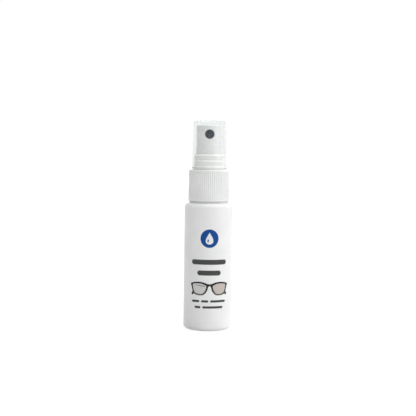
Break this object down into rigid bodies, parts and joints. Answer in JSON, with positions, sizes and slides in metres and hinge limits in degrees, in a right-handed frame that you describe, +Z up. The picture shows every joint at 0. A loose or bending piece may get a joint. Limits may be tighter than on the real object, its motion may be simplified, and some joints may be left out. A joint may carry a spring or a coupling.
{
  "type": "lens cleaning spray",
  "caption": "Slim white pump spray bottle for lens cleaner: ribbed screw closure, fine-mist finger pump with dip tube, and a clear overcap.",
  "frame": {"origin": "centre of the bottle's base ring, on the surface that it stands on", "axes": "+Z up along the bottle's axis; the nozzle and the printed face look towards -Y; +X is to the right of someone facing the print"},
  "size_m": [0.0264, 0.0264, 0.115],
  "materials": {
    "bottle_white": "satin blow-moulded polyethylene, white",
    "closure_white": "semi-gloss moulded polypropylene, white",
    "chaplet_white": "semi-gloss moulded polypropylene, white",
    "actuator_white": "semi-gloss moulded polypropylene, white",
    "nozzle_dark": "dark slate-grey acetal, semi-gloss",
    "overcap_clear": "clear moulded polypropylene, glossy",
    "pump_natural": "natural, milky polypropylene",
    "piston_natural": "natural soft polyethylene",
    "tube_natural": "natural polyethylene tube, translucent",
    "gasket_white": "white closed-cell foam washer",
    "seal_grey": "grey moulded rubber ring",
    "steel_ball": "polished stainless steel",
    "spring_steel": "stainless spring wire",
    "print_blue": "screen-printed ink, royal blue",
    "print_grey": "screen-printed ink, dark grey",
    "print_frame": "screen-printed ink, near black fading to brown",
    "print_lens": "screen-printed ink, light neutral grey",
    "print_mist": "screen-printed ink, light warm grey"
  },
  "bodies": {
    "bottle": {"bottle": "bottle_white"},
    "pump": {"neck_gasket": "gasket_white", "chaplet": "chaplet_white", "pump_housing": "pump_natural", "stem_seal": "seal_grey", "dip_tube": "tube_natural", "return_spring": "spring_steel"},
    "closure": {"closure": "closure_white"},
    "overcap": {"overcap": "overcap_clear"},
    "plunger": {"piston_rod": "pump_natural", "stem": "pump_natural"},
    "spray_head": {"actuator": "actuator_white", "nozzle_insert": "nozzle_dark"},
    "piston": {"piston": "piston_natural"},
    "check_ball": {"check_ball": "steel_ball"}
  },
  "joints": [
    {"name": "pump_lift", "type": "slide", "parent": "bottle", "child": "pump", "axis": [0, 0, 1], "range_m": [0, 0.00476]},
    {"name": "closure_turn", "type": "hinge", "parent": "pump", "child": "closure", "pos_m": [0, 0, 0.0793], "axis": [0, 0, 1], "range_deg": [0, 540]},
    {"name": "overcap_lift", "type": "slide", "parent": "pump", "child": "overcap", "axis": [0, 0, 1], "range_m": [0, 0.03]},
    {"name": "press", "type": "slide", "parent": "pump", "child": "plunger", "axis": [0, 0, -1], "range_m": [0, 0.0042], "stiffness_N_per_m": 1000, "deforming": ["return_spring"]},
    {"name": "spray_head_spin", "type": "hinge", "parent": "plunger", "child": "spray_head", "pos_m": [0, 0, 0.104], "axis": [0, 0, 1], "continuous": true},
    {"name": "piston_float", "type": "slide", "parent": "plunger", "child": "piston", "axis": [0, 0, 1], "range_m": [0, 0.0004]},
    {"name": "check_ball_lift", "type": "slide", "parent": "pump", "child": "check_ball", "axis": [0, 0, 1], "range_m": [0, 0.001]}
  ],
  "couplings": [
    {"joint": "closure_turn", "follows": "pump_lift", "rad_per_m": 1979}
  ]
}
